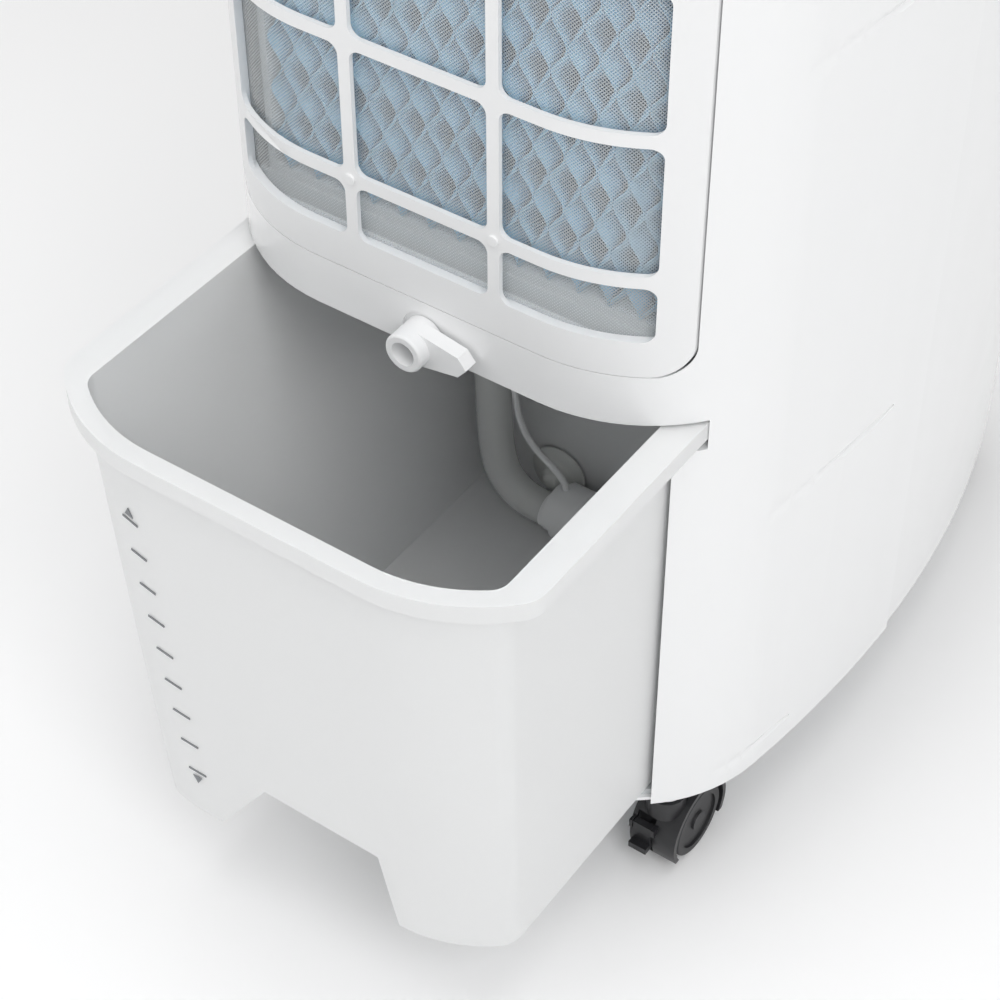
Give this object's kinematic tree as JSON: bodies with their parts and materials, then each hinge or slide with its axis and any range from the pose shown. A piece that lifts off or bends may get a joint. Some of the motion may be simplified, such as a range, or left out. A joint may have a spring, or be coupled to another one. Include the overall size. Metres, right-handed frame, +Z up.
{
  "type": "evaporative cooler",
  "caption": "Floor-standing evaporative air cooler on casters, with its rear water tank drawn out under a curved air filter and wetted pad.",
  "frame": {"origin": "middle of the footprint, on the floor that the casters stand on, with the tank drawn out", "axes": "+Z up, +Y towards the rear with the filter and the tank, -Y the way the air blows out, X across"},
  "size_m": [0.287, 0.5366, 0.7014],
  "materials": {
    "white_shell": "glossy",
    "white_trim": "satin",
    "tank_plastic": "frosted translucent",
    "scale_print": "matte print",
    "pad_paper": "matte",
    "mesh_cloth": "fine weave",
    "inner_plastic": "matte",
    "hose_vinyl": "translucent",
    "lead_sheath": "satin",
    "soft_rubber": "matte",
    "black_plastic": "satin",
    "wheel_black": "satin",
    "fan_grey": "satin",
    "motor_steel": "brushed",
    "screw_steel": "zinc plated",
    "board_green": "solder mask",
    "window_smoke": "glossy",
    "panel_dark": "glossy",
    "key_grey": "satin"
  },
  "bodies": {
    "housing": {"rear_shell": "white_shell", "front_shell": "white_shell", "base_pan": "inner_plastic", "bay_wall_left": "inner_plastic", "bay_wall_right": "inner_plastic", "bay_back_wall": "inner_plastic", "bay_deck": "inner_plastic", "drip_tray": "inner_plastic", "pad_frame": "inner_plastic", "cooling_pad": "pad_paper", "water_distributor": "inner_plastic", "pump_hose": "hose_vinyl", "pump_lead": "lead_sheath", "hose_spigot": "inner_plastic", "outlet_frame": "white_trim", "swing_motor": "motor_steel", "blower_casing": "fan_grey", "blower_motor": "motor_steel", "motor_bracket": "motor_steel", "top_cover": "white_shell", "control_panel": "panel_dark", "display_window": "window_smoke", "control_board": "board_green", "cord_gland": "soft_rubber", "base_screws": "screw_steel"},
    "tank": {"tank": "tank_plastic", "level_marks": "scale_print", "pump": "white_trim", "pump_cup": "soft_rubber"},
    "latch": {"tank_latch": "white_trim"},
    "filter": {"filter_frame": "white_trim", "filter_mesh": "mesh_cloth"},
    "louvre_1": {"louvre_1": "white_trim"},
    "louvre_2": {"louvre_2": "white_trim"},
    "louvre_3": {"louvre_3": "white_trim"},
    "louvre_4": {"louvre_4": "white_trim"},
    "louvre_5": {"louvre_5": "white_trim"},
    "louvre_link": {"louvre_link": "white_trim"},
    "vane_1": {"vane_1": "white_trim"},
    "vane_2": {"vane_2": "white_trim"},
    "vane_3": {"vane_3": "white_trim"},
    "vane_4": {"vane_4": "white_trim"},
    "vane_5": {"vane_5": "white_trim"},
    "vane_link": {"vane_link": "white_trim"},
    "blower": {"blower_wheel": "fan_grey"},
    "button_power": {"button_power": "key_grey"},
    "button_speed": {"button_speed": "key_grey"},
    "button_mode": {"button_mode": "key_grey"},
    "button_swing": {"button_swing": "key_grey"},
    "button_timer": {"button_timer": "key_grey"},
    "swivel_rear_left": {"caster_rear_left_hood": "black_plastic"},
    "wheels_rear_left": {"caster_rear_left_wheels": "wheel_black"},
    "brake_rear_left": {"caster_rear_left_brake": "black_plastic"},
    "swivel_rear_right": {"caster_rear_right_hood": "black_plastic"},
    "wheels_rear_right": {"caster_rear_right_wheels": "wheel_black"},
    "brake_rear_right": {"caster_rear_right_brake": "black_plastic"},
    "swivel_front_left": {"caster_front_left_hood": "black_plastic"},
    "wheels_front_left": {"caster_front_left_wheels": "wheel_black"},
    "swivel_front_right": {"caster_front_right_hood": "black_plastic"},
    "wheels_front_right": {"caster_front_right_wheels": "wheel_black"}
  },
  "joints": [
    {"name": "tank_slide", "type": "slide", "parent": "housing", "child": "tank", "axis": [0, 1, 0], "range_m": [-0.118, 0], "deforming": ["pump_hose", "pump_lead"]},
    {"name": "latch_turn", "type": "hinge", "parent": "housing", "child": "latch", "pos_m": [0, 0.15029, 0.2967], "axis": [0, -1, 0], "range_deg": [0, 90]},
    {"name": "filter_slide", "type": "slide", "parent": "housing", "child": "filter", "axis": [0, 1, 0], "range_m": [0, 0.06]},
    {"name": "louvre_1_tilt", "type": "hinge", "parent": "housing", "child": "louvre_1", "pos_m": [0, -0.24371, 0.5395], "axis": [1, 0, 0], "range_deg": [-30, 30]},
    {"name": "louvre_2_tilt", "type": "hinge", "parent": "housing", "child": "louvre_2", "pos_m": [0, -0.24371, 0.5585], "axis": [1, 0, 0], "range_deg": [-30, 30]},
    {"name": "louvre_3_tilt", "type": "hinge", "parent": "housing", "child": "louvre_3", "pos_m": [0, -0.24371, 0.5775], "axis": [1, 0, 0], "range_deg": [-30, 30]},
    {"name": "louvre_4_tilt", "type": "hinge", "parent": "housing", "child": "louvre_4", "pos_m": [0, -0.24371, 0.5965], "axis": [1, 0, 0], "range_deg": [-30, 30]},
    {"name": "louvre_5_tilt", "type": "hinge", "parent": "housing", "child": "louvre_5", "pos_m": [0, -0.24371, 0.6155], "axis": [1, 0, 0], "range_deg": [-30, 30]},
    {"name": "louvre_link_slide", "type": "slide", "parent": "housing", "child": "louvre_link", "axis": [0, 0, 1], "range_m": [-0.0038, 0.0038]},
    {"name": "vane_1_swing", "type": "hinge", "parent": "housing", "child": "vane_1", "pos_m": [-0.056, -0.21571, 0.5775], "axis": [0, 0, 1], "range_deg": [-30, 30]},
    {"name": "vane_2_swing", "type": "hinge", "parent": "housing", "child": "vane_2", "pos_m": [-0.028, -0.21571, 0.5775], "axis": [0, 0, 1], "range_deg": [-30, 30]},
    {"name": "vane_3_swing", "type": "hinge", "parent": "housing", "child": "vane_3", "pos_m": [0, -0.21571, 0.5775], "axis": [0, 0, 1], "range_deg": [-30, 30]},
    {"name": "vane_4_swing", "type": "hinge", "parent": "housing", "child": "vane_4", "pos_m": [0.028, -0.21571, 0.5775], "axis": [0, 0, 1], "range_deg": [-30, 30]},
    {"name": "vane_5_swing", "type": "hinge", "parent": "housing", "child": "vane_5", "pos_m": [0.056, -0.21571, 0.5775], "axis": [0, 0, 1], "range_deg": [-30, 30]},
    {"name": "vane_link_slide", "type": "slide", "parent": "housing", "child": "vane_link", "axis": [1, 0, 0], "range_m": [-0.0038, 0.0038]},
    {"name": "blower_spin", "type": "hinge", "parent": "housing", "child": "blower", "pos_m": [0, -0.15171, 0.5775], "axis": [1, 0, 0], "continuous": true},
    {"name": "button_power_press", "type": "slide", "parent": "housing", "child": "button_power", "axis": [0, 0, -1], "range_m": [0, 0.0008], "stiffness_N_per_m": 1500},
    {"name": "button_speed_press", "type": "slide", "parent": "housing", "child": "button_speed", "axis": [0, 0, -1], "range_m": [0, 0.0008], "stiffness_N_per_m": 1500},
    {"name": "button_mode_press", "type": "slide", "parent": "housing", "child": "button_mode", "axis": [0, 0, -1], "range_m": [0, 0.0008], "stiffness_N_per_m": 1500},
    {"name": "button_swing_press", "type": "slide", "parent": "housing", "child": "button_swing", "axis": [0, 0, -1], "range_m": [0, 0.0008], "stiffness_N_per_m": 1500},
    {"name": "button_timer_press", "type": "slide", "parent": "housing", "child": "button_timer", "axis": [0, 0, -1], "range_m": [0, 0.0008], "stiffness_N_per_m": 1500},
    {"name": "caster_rear_left_swivel", "type": "hinge", "parent": "housing", "child": "swivel_rear_left", "pos_m": [0.107, 0.11529, 0.05], "axis": [0, 0, 1], "continuous": true},
    {"name": "caster_rear_left_roll", "type": "hinge", "parent": "swivel_rear_left", "child": "wheels_rear_left", "pos_m": [0.107, 0.10289, 0.019], "axis": [1, 0, 0], "continuous": true},
    {"name": "caster_rear_left_brake_press", "type": "hinge", "parent": "swivel_rear_left", "child": "brake_rear_left", "pos_m": [0.107, 0.12599, 0.027], "axis": [-1, 0, 0], "range_deg": [0, 12]},
    {"name": "caster_rear_right_swivel", "type": "hinge", "parent": "housing", "child": "swivel_rear_right", "pos_m": [-0.107, 0.11529, 0.05], "axis": [0, 0, 1], "continuous": true},
    {"name": "caster_rear_right_roll", "type": "hinge", "parent": "swivel_rear_right", "child": "wheels_rear_right", "pos_m": [-0.107, 0.10289, 0.019], "axis": [1, 0, 0], "continuous": true},
    {"name": "caster_rear_right_brake_press", "type": "hinge", "parent": "swivel_rear_right", "child": "brake_rear_right", "pos_m": [-0.107, 0.12599, 0.027], "axis": [-1, 0, 0], "range_deg": [0, 12]},
    {"name": "caster_front_left_swivel", "type": "hinge", "parent": "housing", "child": "swivel_front_left", "pos_m": [0.088, -0.19471, 0.05], "axis": [0, 0, 1], "continuous": true},
    {"name": "caster_front_left_roll", "type": "hinge", "parent": "swivel_front_left", "child": "wheels_front_left", "pos_m": [0.088, -0.20711, 0.019], "axis": [1, 0, 0], "continuous": true},
    {"name": "caster_front_right_swivel", "type": "hinge", "parent": "housing", "child": "swivel_front_right", "pos_m": [-0.088, -0.19471, 0.05], "axis": [0, 0, 1], "continuous": true},
    {"name": "caster_front_right_roll", "type": "hinge", "parent": "swivel_front_right", "child": "wheels_front_right", "pos_m": [-0.088, -0.20711, 0.019], "axis": [1, 0, 0], "continuous": true}
  ],
  "couplings": [
    {"joint": "louvre_2_tilt", "follows": "louvre_1_tilt", "ratio": 1},
    {"joint": "louvre_3_tilt", "follows": "louvre_1_tilt", "ratio": 1},
    {"joint": "louvre_4_tilt", "follows": "louvre_1_tilt", "ratio": 1},
    {"joint": "louvre_5_tilt", "follows": "louvre_1_tilt", "ratio": 1},
    {"joint": "louvre_link_slide", "follows": "louvre_1_tilt", "m_per_rad": 0.007},
    {"joint": "vane_1_swing", "follows": "vane_3_swing", "ratio": 1},
    {"joint": "vane_2_swing", "follows": "vane_3_swing", "ratio": 1},
    {"joint": "vane_4_swing", "follows": "vane_3_swing", "ratio": 1},
    {"joint": "vane_5_swing", "follows": "vane_3_swing", "ratio": 1},
    {"joint": "vane_link_slide", "follows": "vane_3_swing", "m_per_rad": -0.007}
  ]
}
